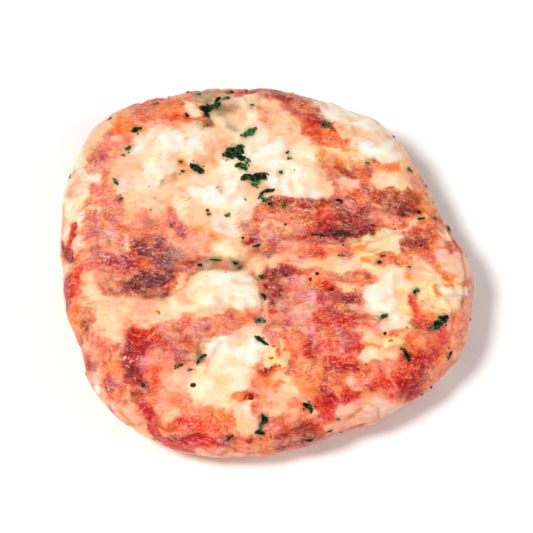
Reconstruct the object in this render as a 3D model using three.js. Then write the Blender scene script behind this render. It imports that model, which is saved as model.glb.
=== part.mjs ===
// A raw breakfast sausage patty, pressed by hand from coarsely ground pork.
// Millimetres, +Z up. It lies on its flatter face, with the middle of its box over the origin.
import * as THREE from "three";

// Driving sizes of the patty.
const MEAN_RADIUS = 37.3; // of the outline, seen from above
const THICKNESS = 16; // from the flat underside to the tops of the lumps
const REST_RADIUS = 25; // the flat spot in the underside that it stands on
const EDGE_WIDTH = 9; // how far in from the outline the faces start to turn over
const EDGE_SQUARENESS = 2.25; // 2 is an ellipse, more is a fuller edge
const DOME_DROP = 0.5; // how much lower the upper face is where the edge starts
const UNDER_LIFT = 0.35; // how much higher the underside is where the edge starts
const RELIEF_ROOM = 0.8; // what the highest swell of the upper face stands proud

// How finely the surface is divided.
const SECTORS = 120;
const TOP_RINGS = 15;
const EDGE_RINGS = 14;
const UNDER_RINGS = 4;

// Where the palms left the outline fuller or flatter: degrees round, and millimetres out.
const BULGES = [
  { at: 143, out: 8.0, spread: 21 },
  { at: 227, out: 5.8, spread: 20 },
  { at: 256, out: 2.0, spread: 12 },
  { at: 336, out: 3.0, spread: 19 },
  { at: 22, out: -3.6, spread: 16 },
  { at: 68, out: -1.4, spread: 18 },
  { at: 187, out: 1.8, spread: 18 },
];

// The coarse mince shows round the edge as shallow ripples, which lean as they climb.
const RIPPLES = [
  { turns: 8, out: 0.26, start: 40, lean: 60 },
  { turns: 13, out: 0.22, start: 155, lean: -90 },
  { turns: 21, out: 0.15, start: 250, lean: 120 },
];

// Swells and hollows of the upper face.
const SWELLS = [
  { x: -8, y: 17, up: 0.75, reach: 11 },
  { x: -19, y: 24, up: 0.35, reach: 8 },
  { x: 14, y: 20, up: 0.45, reach: 8 },
  { x: -9, y: -8, up: 0.8, reach: 6 },
  { x: 25, y: -9, up: 0.7, reach: 7 },
  { x: -6, y: -22, up: 0.6, reach: 7 },
  { x: 8, y: -22, up: 0.35, reach: 7 },
  { x: -22, y: -5, up: -0.8, reach: 6 },
  { x: 4, y: -8, up: -0.5, reach: 5 },
  { x: 17, y: 8, up: -0.45, reach: 7 },
  { x: -22, y: -23, up: -0.5, reach: 6 },
];

// Creases where two handfuls were folded together, each from end to end over its bends.
const CREASES = [
  { bends: [[-24, 0], [-17, -2.5], [-9, -1.5], [-3, -3.5]], depth: 0.5, width: 1.7 },
  { bends: [[-3, -3.5], [6, -1], [15, 3], [27, 6]], depth: 0.4, width: 2.0 },
  { bends: [[-3, -3.5], [-1.5, -9], [-4, -16]], depth: 0.45, width: 1.8 },
  { bends: [[-31, -12], [-20, -17], [-10, -17]], depth: 0.35, width: 2.0 },
];

// A smooth bell, 1 at no distance and falling away over a reach.
function bell(distance, reach) {
  return Math.exp(-0.5 * (distance / reach) ** 2);
}

// The shorter way round between two directions, in degrees.
function turnBetween(a, b) {
  return THREE.MathUtils.euclideanModulo(a - b + 180, 360) - 180;
}

// How far the outline lies from the middle in a direction, in degrees.
function outlineRadius(direction) {
  let radius = MEAN_RADIUS;
  for (const { at, out, spread } of BULGES) {
    radius += out * bell(turnBetween(direction, at), spread);
  }
  return radius;
}

// How far the ripples push the edge out, at a direction and a share of the height.
function ripple(direction, heightShare) {
  let push = 0;
  for (const { turns, out, start, lean } of RIPPLES) {
    const phase = turns * direction + start + lean * heightShare;
    push += out * Math.sin(THREE.MathUtils.degToRad(phase));
  }
  return push;
}

// How far a point lies from the stretch between two points, seen from above.
function distanceToStretch(x, y, from, to) {
  const [ax, ay] = from;
  const dx = to[0] - ax;
  const dy = to[1] - ay;
  const along = ((x - ax) * dx + (y - ay) * dy) / (dx * dx + dy * dy);
  const share = THREE.MathUtils.clamp(along, 0, 1);
  return Math.hypot(x - ax - share * dx, y - ay - share * dy);
}

// How far a point lies from a crease, seen from above.
function distanceToCrease(x, y, bends) {
  let nearest = Infinity;
  for (let i = 1; i < bends.length; i += 1) {
    nearest = Math.min(nearest, distanceToStretch(x, y, bends[i - 1], bends[i]));
  }
  return nearest;
}

// How far the upper face stands above its mean at a point.
function topRelief(x, y) {
  let height = 0;
  for (const swell of SWELLS) {
    height += swell.up * bell(Math.hypot(x - swell.x, y - swell.y), swell.reach);
  }
  for (const { bends, depth, width } of CREASES) {
    height -= depth * bell(distanceToCrease(x, y, bends), width);
  }
  return height;
}

// Half a section through the patty: from the middle of the underside, round the edge and back
// to the middle of the upper face.
function sectionPoints() {
  const points = [new THREE.Vector2(0, 0)];
  const faceRadius = MEAN_RADIUS - EDGE_WIDTH;
  const topHeight = THICKNESS - RELIEF_ROOM;
  const edgeBottom = UNDER_LIFT;
  const edgeTop = topHeight - DOME_DROP;
  const middle = (edgeBottom + edgeTop) / 2;
  const halfHeight = (edgeTop - edgeBottom) / 2;
  for (let i = 0; i < UNDER_RINGS; i += 1) {
    const share = i / UNDER_RINGS;
    const radius = THREE.MathUtils.lerp(REST_RADIUS, faceRadius, share);
    points.push(new THREE.Vector2(radius, edgeBottom * share ** 2));
  }
  for (let i = 0; i <= EDGE_RINGS; i += 1) {
    const angle = Math.PI * (i / EDGE_RINGS - 0.5);
    const across = Math.cos(angle) ** (2 / EDGE_SQUARENESS);
    const up = Math.sign(angle) * Math.abs(Math.sin(angle)) ** (2 / EDGE_SQUARENESS);
    points.push(new THREE.Vector2(faceRadius + EDGE_WIDTH * across, middle + halfHeight * up));
  }
  for (let i = TOP_RINGS - 1; i > 0; i -= 1) {
    const share = i / TOP_RINGS;
    points.push(new THREE.Vector2(faceRadius * share, topHeight - DOME_DROP * share ** 2));
  }
  points.push(new THREE.Vector2(0, topHeight));
  return points;
}

// The turned section, pushed out of round and given its swells and creases.
function pattyGeometry() {
  const geometry = new THREE.LatheGeometry(sectionPoints(), SECTORS);
  geometry.rotateX(Math.PI / 2);
  const position = geometry.getAttribute("position");
  for (let i = 0; i < position.count; i += 1) {
    const turnedX = position.getX(i);
    const turnedY = position.getY(i);
    const z = position.getZ(i);
    const radius = Math.hypot(turnedX, turnedY);
    const direction = THREE.MathUtils.radToDeg(Math.atan2(turnedY, turnedX));
    const heightShare = z / THICKNESS;
    const edgeShare = THREE.MathUtils.smoothstep(radius, REST_RADIUS, MEAN_RADIUS);
    const grow = outlineRadius(direction) / MEAN_RADIUS;
    const push = edgeShare * ripple(direction, heightShare);
    const stretch = radius > 0 ? grow + push / radius : 1;
    const x = turnedX * stretch;
    const y = turnedY * stretch;
    const topShare = THREE.MathUtils.smoothstep(heightShare, 0.45, 0.9);
    position.setXYZ(i, x, y, z + topShare * topRelief(x, y));
  }
  geometry.computeBoundingBox();
  const { min, max } = geometry.boundingBox;
  geometry.translate(-(min.x + max.x) / 2, -(min.y + max.y) / 2, -min.z);
  geometry.computeVertexNormals();
  return geometry;
}

const meat = new THREE.MeshStandardMaterial({ color: 0xe8a381, roughness: 0.4, metalness: 0 });

const patty = new THREE.Mesh(pattyGeometry(), meat);
patty.name = "patty";

const group = new THREE.Group();
group.add(patty);

export default group;
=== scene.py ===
# The looks of a raw breakfast sausage patty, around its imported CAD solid.
import math

import bpy
import numpy as np
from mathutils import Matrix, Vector
from mathutils.bvhtree import BVHTree
from mathutils.kdtree import KDTree


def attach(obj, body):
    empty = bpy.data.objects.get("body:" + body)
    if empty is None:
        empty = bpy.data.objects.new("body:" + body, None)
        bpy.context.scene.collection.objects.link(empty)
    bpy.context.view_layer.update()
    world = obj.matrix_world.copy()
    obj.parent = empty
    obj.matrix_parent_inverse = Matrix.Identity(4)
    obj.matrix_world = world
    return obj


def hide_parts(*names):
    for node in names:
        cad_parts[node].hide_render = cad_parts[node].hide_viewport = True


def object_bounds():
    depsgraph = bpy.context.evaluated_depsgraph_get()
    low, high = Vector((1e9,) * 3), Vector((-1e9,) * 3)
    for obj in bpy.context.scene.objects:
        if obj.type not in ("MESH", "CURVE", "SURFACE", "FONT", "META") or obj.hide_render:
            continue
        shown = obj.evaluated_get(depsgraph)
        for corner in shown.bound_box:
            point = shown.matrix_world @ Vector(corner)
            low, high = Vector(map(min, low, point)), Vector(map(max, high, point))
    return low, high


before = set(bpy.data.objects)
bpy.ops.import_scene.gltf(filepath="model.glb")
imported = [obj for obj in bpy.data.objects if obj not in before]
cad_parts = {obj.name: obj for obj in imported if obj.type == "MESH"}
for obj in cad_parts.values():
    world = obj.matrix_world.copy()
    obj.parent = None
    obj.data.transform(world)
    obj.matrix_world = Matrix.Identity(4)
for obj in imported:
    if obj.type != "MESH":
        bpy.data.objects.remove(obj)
cad_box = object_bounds()

MM = 0.001
CAD_LOW, CAD_HIGH = (np.array(corner) / MM for corner in cad_box)
HALF_HEIGHT = (CAD_HIGH[2] - CAD_LOW[2]) / 2

# ---------------------------------------------------------------- the view of the photograph
VIEW_ELEVATION = math.radians(65.0)  # above the plane of the patty
VIEW_DISTANCE = 513.0  # mm
TO_CAMERA = np.array([0.0, -math.cos(VIEW_ELEVATION), math.sin(VIEW_ELEVATION)])
UP_IN_VIEW = np.array([0.0, math.sin(VIEW_ELEVATION), math.cos(VIEW_ELEVATION)])
HIDDEN_FACING = 0.25  # how far a normal faces the camera, below which the skin isn't seen well
SEEN_MIDDLE = np.array([1.44, -0.1, 8.0])  # the middle of what is seen, in mm in the frame


def seen(points):
    """Where points, in millimetres, appear from the camera: across and up, in millimetres."""
    offset = points - SEEN_MIDDLE
    nearness = VIEW_DISTANCE / (VIEW_DISTANCE - offset @ TO_CAMERA)
    return np.stack([offset[:, 0], offset @ UP_IN_VIEW], axis=1) * nearness[:, None]


# ---------------------------------------------------------------- noise
class Noise:
    """Smooth, seeded gradient noise from about -1 to 1, at one wavelength in millimetres."""

    def __init__(self, seed, wavelength):
        rng = np.random.default_rng(seed)
        self.order = rng.permutation(256)
        slopes = rng.normal(size=(256, 3))
        self.slopes = slopes / np.linalg.norm(slopes, axis=1, keepdims=True)
        self.offset = rng.uniform(100, 200, size=3)
        self.wavelength = wavelength

    def __call__(self, points, stretch=(1, 1, 1)):
        cell = points / (self.wavelength * np.array(stretch)) + self.offset
        base = np.floor(cell).astype(int)
        part = cell - base
        ease = part**3 * (part * (part * 6 - 15) + 10)
        total = np.zeros(len(points))
        for step in np.ndindex(2, 2, 2):
            key = 0
            for axis in range(3):
                key = self.order[(key + base[:, axis] + step[axis]) & 255]
            slope = np.einsum("ij,ij->i", self.slopes[key], part - step)
            total += np.where(step, ease, 1 - ease).prod(axis=1) * slope
        return total * 1.6


def layered(points, *layers):
    """Noises added up: layers are (strength, seed, wavelength in mm)."""
    return sum(strength * Noise(seed, wavelength)(points) for strength, seed, wavelength in layers)


def warped(points, seed, strengths):
    """Points pushed about by noise: strengths are (wavelength, push) pairs in millimetres."""
    moved = points.copy()
    for k, (wavelength, push) in enumerate(strengths):
        for axis in range(3):
            moved[:, axis] += push * Noise(seed + 10 * k + axis, wavelength)(points)
    return moved


def smoothstep(low, high, value):
    """An eased rise from 0 to 1, or a fall where low is more than high."""
    share = np.clip((value - low) / (high - low), 0, 1)
    return share * share * (3 - 2 * share)


# ---------------------------------------------------------------- the skin's mesh
FACE_CELLS = 170  # across the grid of the upper face and of the underside
EDGE_CELLS = 56  # from the upper face round to the underside
OUTLINE_STEPS = 720  # round the solid at half its height
SMOOTHING = 40  # rounds that even out the CAD's facets


def disc_spots():
    """The corners of a square grid, laid on a unit disc in even rings."""
    steps = np.arange(FACE_CELLS + 1) * 2.0 / FACE_CELLS - 1.0
    a, b = np.meshgrid(steps, steps, indexing="ij")
    wide = np.abs(a) >= np.abs(b)
    ring = np.where(wide, a, b)
    eighth = math.pi / 4 * np.where(wide, b, a) / np.where(ring == 0, 1, ring)
    turn = np.where(wide, eighth, math.pi / 2 - eighth)
    return np.stack([(ring * np.cos(turn)).ravel(), (ring * np.sin(turn)).ravel()], axis=1)


def skin_layout():
    """Each vertex's spot on a disc and the angle that its ray rises at, and the skin's faces."""
    n = FACE_CELLS + 1
    disc = disc_spots()
    grid = np.arange(n * n).reshape(n, n)
    loop = np.concatenate([grid[-1, :-1], grid[:0:-1, -1], grid[0, :0:-1], grid[:-1, 0]])
    angles = np.linspace(math.pi / 2, -math.pi / 2, EDGE_CELLS + 1)[1:-1]
    place = np.concatenate([disc, disc, np.tile(disc[loop], (len(angles), 1))])
    straight = np.repeat([math.pi / 2, -math.pi / 2], n * n)
    rise = np.concatenate([straight, np.repeat(angles, len(loop))])
    edge = 2 * n * n + np.arange(len(angles) * len(loop)).reshape(len(angles), -1)
    rows = np.vstack([loop, edge, loop + n * n])
    upper, lower = rows[:-1], rows[1:]
    sides = np.stack([upper, lower, np.roll(lower, -1, 1), np.roll(upper, -1, 1)], -1)
    top = np.stack([grid[:-1, :-1], grid[1:, :-1], grid[1:, 1:], grid[:-1, 1:]], -1).reshape(-1, 4)
    return place, rise, np.concatenate([top, top[:, ::-1] + n * n, sides.reshape(-1, 4)])


def base_points(place, rise):
    """The CAD surface, met by rays from a flat disc inside it."""
    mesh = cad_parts["patty"].data
    corners = [v.co / MM for v in mesh.vertices]
    tree = BVHTree.FromPolygons(corners, [tuple(p.vertices) for p in mesh.polygons])
    around = np.linspace(-math.pi, math.pi, OUTLINE_STEPS + 1)
    outward = [Vector((math.cos(angle), math.sin(angle), 0)) for angle in around]
    middle = Vector((0, 0, HALF_HEIGHT))
    reach = [tree.ray_cast(middle, ray)[0].xy.length - HALF_HEIGHT for ray in outward]
    turn = np.arctan2(place[:, 1], place[:, 0])
    core = np.interp(turn, around, reach) * np.linalg.norm(place, axis=1)
    aside = np.stack([np.cos(turn), np.sin(turn)], axis=1)
    starts = np.column_stack([aside * core[:, None], np.full(len(place), HALF_HEIGHT)])
    rays = np.column_stack([aside * np.cos(rise)[:, None], np.sin(rise)])
    return np.array([tree.ray_cast(Vector(s), Vector(r))[0][:] for s, r in zip(starts, rays)])


def edge_ends(quads):
    """Every edge of the skin, as both its ends in both orders."""
    pairs = np.concatenate([quads[:, [k, (k + 1) % 4]] for k in range(4)])
    pairs = np.unique(np.sort(pairs, axis=1), axis=0)
    return np.concatenate([pairs, pairs[:, ::-1]]).T


def smoothed(values, ends, rounds):
    """Values, one row a vertex, evened out with their neighbours."""
    rows = values.reshape(len(values), -1)
    here, there = ends
    valence = np.bincount(here)[:, None]
    for _ in range(rounds):
        sums = np.stack([np.bincount(here, column[there]) for column in rows.T], axis=1)
        rows = 0.5 * (rows + sums / valence)
    return rows.reshape(values.shape)


def normals_of(points, quads):
    """Outward unit normals of the skin at its vertices."""
    p = points[quads]
    face = np.cross(p[:, 2] - p[:, 0], p[:, 3] - p[:, 1])
    total = np.stack([np.bincount(quads.ravel(), np.repeat(c, 4)) for c in face.T], axis=1)
    return total / np.linalg.norm(total, axis=1, keepdims=True)


# ---------------------------------------------------------------- what the mince is made of
# Each kind: its display colour, how fatty it is (below 0 is lean) and how proud it stands.
STUFFS = {
    "white": ((255, 253, 244), 1.25, 0.34), "cream": ((255, 240, 210), 1.1, 0.28),
    "peach": ((254, 208, 168), 0.85, 0.18), "blush": ((255, 206, 188), 0.75, 0.16),
    "shell": ((252, 182, 158), 0.7, 0.12), "yellow": ((255, 242, 182), 1.0, 0.24),
    "ochre": ((240, 158, 14), 0.7, 0), "clear": ((150, 130, 92), 0.7, -0.05),
    "pink": ((226, 130, 110), -0.6, 0.05), "salmon": ((240, 126, 86), -0.75, 0.05),
    "orange": ((254, 132, 56), -0.8, 0.05), "coral": ((230, 60, 26), -0.88, 0),
    "raspberry": ((226, 74, 70), -0.85, 0), "red": ((180, 10, 6), -1.1, -0.08),
    "mauve": ((194, 82, 82), -0.95, 0), "rose": ((236, 120, 120), -0.7, 0.03),
    "lilac": ((242, 164, 170), -0.35, 0.05), "plum": ((128, 48, 46), -1.3, -0.22),
    "crimson": ((208, 28, 22), -1.0, -0.05), "brown": ((172, 64, 40), -1.15, -0.12),
    "maroon": ((130, 22, 20), -1.25, -0.18), "dark": ((104, 22, 24), -1.35, -0.3),
    "grey": ((150, 90, 86), -1.0, -0.08),
}

# Each patch of the upper face: its kind, from where to where as seen, and its radius, in mm.
PATCHES = [
    # the broad lay of fat and lean
    ("cream", -36, 20, -31, 28.5, 3.6), ("salmon", -28, 27.4, -18, 31.5, 3.4),
    ("cream", -26, 18, -12, 23, 6), ("cream", -10, 22, 6, 24, 6.5), ("cream", 6, 20, 24, 24, 6),
    ("peach", -27, 12, -8, 10, 4), ("cream", -12, 12, 6, 17, 4), ("peach", 19, 18, 29, 16, 2.6),
    ("brown", 1, 9.8, 27, 11.2, 3.2), ("pink", -4, 5, 16, 3.6, 3), ("peach", 13, 2.6, 26, 2.4, 2.4),
    ("blush", 29, 2.4, 35, -0.6, 3.4), ("shell", -26, 9, -15, 6, 4), ("peach", -14, 5, -6, 4, 3),
    ("mauve", -26, 3, -17, 2, 2.2), ("plum", -25.4, -1.8, -20, -2.2, 2.4),
    ("peach", -27, -9, -8, -7, 4), ("salmon", -25, -15, -12, -14, 3.8),
    ("shell", -9, -11, -2, -10, 2.4), ("mauve", 1, -5, 14, -8, 4), ("rose", 4, -11, 16, -14, 4.5),
    ("salmon", 9, -1.5, 18, -1.5, 2.2), ("salmon", 27, -13.4, 33, -15, 3.4),
    ("salmon", 16, -19, 24, -20, 4.5), ("crimson", 9, -19, 12, -26, 3.2),
    ("orange", -3, -20, 6, -22, 4), ("shell", 0, -28, 6, -28, 3), ("peach", 0.4, -28, 3.4, -27.4, 2),
    ("peach", -20, -23, -8, -24, 4.5), ("salmon", -25, -29, -6, -31, 3.4),
    ("crimson", 29, -17.6, 27.4, -24.4, 3.6), ("salmon", 0, -32, 12, -31, 2.6),
    # The coral strip at v about -34.4 and the brown one above it run along the near rim, redder and
    # darker partly as painted shade.
    ("shell", 14, -28.6, 24, -26, 2.8), ("coral", -22, -34.6, 12, -34.2, 1.8),
    ("brown", 1, -34.4, 12, -32.8, 1.5), ("salmon", 34, -18, 38, -6, 2.4),
    ("yellow", 26, -2, 33, -5, 3.4), ("cream", 20.6, -4, 24, -9, 3.6),
    # the far left: cream fat, then a salmon band
    ("peach", -32, 27.6, -30, 29.4, 1.5), ("peach", -34.6, 23, -32.6, 25, 1.3),
    ("salmon", -31, 23.8, -27.6, 27.4, 2), ("rose", -34, 20.8, -30.4, 23.6, 1.8),
    ("salmon", -26, 31.8, -22, 32, 1.4), ("coral", -24, 28.6, -19.6, 28.9, 0.5),
    ("orange", -28.8, 27.8, -27.6, 26.4, 1.4), ("orange", -24, 26.8, -23, 26.6, 0.7),
    ("orange", -19.6, 32.6, -16.8, 31.4, 1.3), ("orange", -21.2, 30.6, -20.2, 31.4, 0.9),
    ("mauve", -34.6, 20.6, -33.4, 21.2, 0.5),
    # the big pale field
    ("white", -25, 22.4, -20, 20, 3.2), ("white", -22, 24.4, -15, 24.2, 2.4),
    ("white", -17, 23.4, -13.6, 23.4, 2.6), ("blush", -29.2, 20, -28, 13.6, 2.3),
    ("peach", -26.6, 20.4, -26.2, 17.4, 0.6), ("peach", -29.4, 19.8, -29, 18.8, 0.7),
    ("white", -25, 15, -22.6, 16, 1.6), ("peach", -18.6, 21, -18, 18.4, 1.2),
    ("white", -15, 21.8, -12.4, 22.4, 1.5), ("ochre", -18.3, 20.6, -17.9, 20.2, 0.2),
    ("clear", -21.8, 16.2, -19.4, 17.2, 0.5), ("shell", -14.2, 20.4, -12.8, 16.8, 1.3),
    ("peach", -18, 15, -17, 12.6, 1.6), ("yellow", -16.8, 14.6, -16.2, 14, 0.7),
    ("cream", -19, 13.6, -18.2, 11, 1),
    # pink fat and the mauve above the crease
    ("peach", -27, 12.6, -22, 12.4, 2), ("pink", -25, 9, -22, 8, 1.6),
    ("salmon", -19.9, 11.8, -19.2, 9.6, 0.5), ("rose", -19.4, 8.4, -18.2, 6.8, 1.9),
    ("mauve", -18.8, 8.6, -18, 6.8, 0.8), ("salmon", -26.8, 8, -25.8, 5, 1.1),
    ("mauve", -25.4, 3.6, -21, 4.4, 1.9), ("grey", -24.6, 4.2, -19, 2.6, 1.7),
    ("maroon", -26.2, 3.2, -25.4, 1.6, 1.2), ("mauve", -24.4, 1.4, -21.2, 1.4, 0.8),
    ("shell", -19.6, 5.6, -17.6, 4.2, 1.2), ("grey", -19.2, 3.4, -16.6, 1.8, 1.3),
    ("grey", -20, 1.4, -16.6, 1.2, 0.8), ("brown", -16.4, 1.3, -13.4, 2, 0.4),
    ("dark", -25.2, -2.2, -22, -1.4, 1.1), ("brown", -22.4, -3.8, -19.8, -3.4, 0.9),
    ("mauve", -18.6, -2.2, -16.6, -0.8, 1.1), ("grey", -24.6, -5, -22, -4.8, 0.8),
    ("pink", -33, 12, -33, 2, 4), ("peach", -34, -4, -31, -10, 3.6),
    ("mauve", -33, 0.6, -26.4, 1.6, 2.2), ("plum", -31, -3.6, -25.4, -3.2, 1.4),
    ("pink", -33.4, -3, -31, -3.4, 1.2), ("plum", -23, -2.6, -21.2, -1.6, 0.9),
    ("plum", -25, 3.7, -21.6, 2.5, 1.2), ("grey", -22.6, 4.6, -19.8, 2.6, 0.9),
    ("plum", -24.8, -1.2, -21.6, -0.9, 1), ("brown", -20.4, -4, -18.8, -2.4, 0.8),
    ("shell", -30.2, 24.8, -28.6, 24, 0.8),
    # fat down the middle left
    ("white", -13, 14, -7, 13.6, 3.2), ("white", -9.8, 19.6, -8, 16, 2),
    ("cream", -12, 9.6, -6, 9.4, 2.3), ("white", -11, 7.8, -8.6, 7.6, 1.3),
    ("peach", -14.6, 11, -13.4, 8, 1.2), ("shell", -15, 6.4, -12.8, 4.6, 1.5),
    ("ochre", -14.2, 7.4, -9.4, 5.4, 0.25), ("ochre", -12.8, 4.2, -12.2, 3.6, 0.3),
    ("cream", -10.4, 3.8, -7.2, 3.8, 1.2), ("clear", -14.4, 1, -6.4, 0.6, 0.7),
    ("peach", -6.8, 4.4, -4.6, 1.6, 1.2), ("white", -5, 5.2, -3.2, 4.8, 0.6),
    ("salmon", -6, 8, -4.4, 6.6, 1.5), ("red", -5.4, 5.4, -3, 7.4, 0.9),
    ("maroon", -5.3, 8.4, -4.8, 7.4, 0.7), ("white", -12.6, -3.4, -6, -4.6, 3.4),
    ("cream", -18.4, -5.4, -8, -6.2, 2.8), ("cream", -17.4, -4.2, -14, -2.6, 1.4),
    ("white", -9.4, -6.2, -5, -6.2, 1.8), ("shell", -26, -7.2, -24.8, -7.4, 1.2),
    # the far middle, with its greyish pocket
    ("clear", -14, 33, -10, 32.6, 1.8), ("clear", -14, 29.4, -12, 29.6, 1.4),
    ("grey", -13.6, 28.8, -12.6, 28.2, 0.8), ("orange", -15.2, 28.6, -14.8, 28.4, 0.5),
    ("cream", -10, 30.4, -4, 31.4, 2.4), ("peach", -9, 30.6, -7, 29.6, 0.9),
    ("clear", -11, 31.2, -8, 30.4, 1), ("clear", -7.8, 28.2, -7.4, 27.6, 0.9),
    ("cream", -16.4, 31.2, -15.6, 29.6, 1), ("cream", -5, 28.6, 0, 29, 2.8),
    ("shell", -2, 29.4, -1, 28.2, 1.1), ("peach", 1.4, 30.6, 3.4, 28.2, 1.9),
    ("peach", 0, 25.6, 5.4, 23.6, 0.9), ("peach", -10.4, 25.6, -9.4, 22.8, 1.1),
    ("peach", -12.6, 23.6, -11.4, 20.6, 0.7), ("white", -3.6, 22.6, 3, 21.4, 2.8),
    ("white", 1.4, 17.2, 6, 18, 3.4), ("cream", 6.6, 22, 9, 18, 2.2),
    ("peach", 9.8, 20.4, 10.4, 15.6, 1), ("peach", -4.4, 15.6, -2, 14, 1.4),
    ("white", 2, 15, 7, 15.6, 1.3), ("brown", -4, 34.8, 3, 33.4, 1.2),
    ("salmon", 4.6, 31.6, 8.6, 26, 1.6), ("brown", 4.6, 32.2, 9.4, 28, 1.8),
    ("red", 7.2, 29.4, 8.8, 27.2, 1.2), ("maroon", 9.6, 28.6, 11.2, 26.6, 0.8),
    ("coral", 6.4, 27, 9.6, 24.8, 1.2), ("orange", 11.2, 25.2, 14.2, 23.4, 1.3),
    # the right shoulder: white fat along the outline, then mottled lean
    ("white", 11, 31.2, 18, 27.4, 2.4), ("peach", 15.4, 26.4, 21, 25.2, 0.7),
    ("white", 17, 23.2, 23.6, 22.2, 2.2), ("peach", 24.6, 23.4, 27.4, 19.6, 1),
    ("peach", 12.2, 27.2, 13.2, 26.2, 0.7), ("yellow", 11, 22.6, 14, 21.4, 1.3),
    ("orange", 14.6, 20.4, 24.4, 19.4, 0.9), ("peach", 25.4, 19.4, 27, 18.6, 0.8),
    ("peach", 19.6, 18, 26.6, 16.4, 1.6), ("cream", 21, 17.4, 25.6, 16.4, 0.8),
    ("yellow", 25.6, 16, 29.4, 12.8, 0.9), ("orange", 26.2, 14.6, 29.6, 11.6, 0.8),
    ("ochre", 26.4, 15.4, 28.8, 13.2, 0.35), ("shell", 27.4, 18.6, 29.2, 15, 0.7),
    ("mauve", 11, 18.8, 17.4, 18.8, 1.2), ("mauve", 10.8, 17.6, 12, 14.8, 1),
    ("blush", 13.2, 16.8, 16, 16.2, 1.6), ("salmon", 17, 17.6, 18.6, 15.6, 1.3),
    ("pink", 12, 14.4, 17, 14, 0.9), ("ochre", 9.8, 22, 12.8, 20, 1), ("pink", 3.6, 31.6, 4.6, 31, 0.8),
    ("peach", 9.4, 18.2, 10.2, 15.8, 0.8), ("brown", 13, 18.8, 15, 18.3, 0.7),
    ("peach", 17.4, 20.8, 18.6, 20.2, 0.5),
    # the dark granular belt
    ("salmon", -3, 10.4, 4, 11.6, 1.5), ("pink", -3.6, 9, 4, 8, 1.8),
    ("peach", -2.2, 8.6, 1.2, 8.8, 0.7), ("coral", 8.4, 11.4, 10, 10.8, 1.2),
    ("brown", 0, 12.8, 9, 13.2, 0.8), ("maroon", 14.6, 11.4, 19.4, 10.8, 1.3),
    ("brown", 16.4, 14, 26.6, 13.8, 1.5), ("maroon", 23.4, 11.6, 26.8, 10.6, 1.1),
    ("salmon", 16.2, 14.6, 17.8, 13.6, 0.8), ("pink", 14.2, 12.2, 15.8, 12.2, 0.6),
    ("maroon", 8, 6.9, 13.6, 6.6, 0.9), ("dark", 11, 7, 14.6, 6.6, 0.5),
    ("red", 8.4, 8.6, 12, 9.4, 0.7), ("mauve", 17.4, 8.8, 19.4, 8.6, 1.2),
    ("pink", 20, 9.4, 23, 8.8, 1.7), ("shell", 21, 9.8, 22, 8.6, 0.7),
    ("maroon", 16.6, 6.8, 19, 7, 0.7),
    # below the belt
    ("coral", 24.6, 7.6, 31, 8.2, 1.1), ("orange", 27, 9.2, 31, 9.2, 0.6),
    ("cream", 19.6, 5.8, 25.6, 7.6, 0.35), ("cream", 25.6, 7.6, 30.2, 10.2, 0.35),
    ("yellow", 15.6, 4.2, 23.6, 4.9, 1.2), ("ochre", 15.8, 3.6, 20, 3.8, 0.2),
    ("cream", 20, 5, 24.2, 5.6, 1), ("brown", 25.8, 4.4, 31, 4.8, 1.5),
    ("maroon", 27, 4.4, 29.4, 4.2, 0.8), ("salmon", 22, 1.8, 29.4, 2.6, 1.3),
    ("salmon", 31, 6, 33.6, 3.6, 0.9), ("coral", 29.6, 0.9, 30.4, 0.8, 0.4),
    ("cream", 11, 0.8, 18, 0.6, 1.3), ("ochre", 17, 1.5, 20.6, 2, 0.2),
    ("salmon", 10, 3.6, 15, 3.4, 1.2), ("mauve", -3, 4.4, 1.4, 4.8, 0.8),
    ("grey", -3.6, 3.2, -0.4, 2.2, 0.9), ("mauve", 5, 6.4, 9, 5.4, 0.9), ("shell", 2, 4.4, 4.6, 4, 0.9),
    ("shell", 1, 2.2, 5, 1.4, 1.3), ("salmon", 5.6, 3, 9, 2.6, 1.2), ("coral", 8.6, 3, 9.6, 2.8, 0.5),
    ("peach", 6, 0.6, 11, 1, 1), ("peach", -3.4, 0.8, 0, 0.6, 1),
    # the near middle: mauve, rose and red lean
    ("mauve", -0.4, -2.6, 3, -8, 2.2), ("maroon", -0.2, -1.6, 2, -1.2, 0.8),
    # The lilac spot at about (1, -7.7) is a painted glint on wet lean.
    ("brown", 0.4, -3.4, 1.6, -5.4, 1.4), ("lilac", 0.6, -7.6, 1.8, -7.8, 0.9),
    ("grey", -0.6, -7, -0.4, -8.4, 0.6), ("crimson", 2.4, -9.2, 3.6, -9.8, 0.8),
    ("rose", 4.8, -3.6, 5, -12, 1.7), ("raspberry", 8, -7.6, 8.8, -9.6, 1.2),
    ("lilac", 5.8, -3.4, 6.4, -6.4, 1.5), ("lilac", 5.8, -8, 4.6, -13.4, 1.6),
    ("orange", 6.4, -1.6, 9.4, -2, 0.8), ("coral", 9.6, -3.4, 12, -4.6, 1),
    ("red", 10.4, -4.4, 11.2, -4.6, 0.5), ("peach", 12.4, -2.8, 15, -3.2, 0.8),
    ("mauve", 11, -6.6, 15.4, -6.6, 1.5), ("maroon", 13.4, -5.6, 15.4, -6, 0.7),
    ("coral", 8.6, -10, 10.4, -10.8, 1), ("crimson", 12.6, -9.6, 18.6, -9.8, 0.8),
    ("shell", 15.6, -7.4, 17.4, -8.2, 0.6), ("crimson", 13.6, -11.6, 17.4, -11.4, 0.9),
    ("rose", 8.6, -14, 14.6, -15, 1.9), ("raspberry", 10.8, -14.6, 14, -15.2, 1.1),
    ("mauve", 12, -12.8, 14.6, -14, 0.9), ("crimson", 15.6, -13.4, 16.6, -14.8, 0.5),
    ("peach", 16.8, -12.2, 19.6, -13.4, 1.3), ("pink", 1, -10, 3.6, -13, 1.8),
    ("coral", 6, -15.2, 6.8, -17.4, 0.8), ("red", 6.8, -16.2, 7.2, -17.8, 0.7),
    ("orange", 1.8, -16, 4.4, -18.4, 1.4), ("peach", 1, -18.2, 2.2, -16.8, 0.8),
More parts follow.
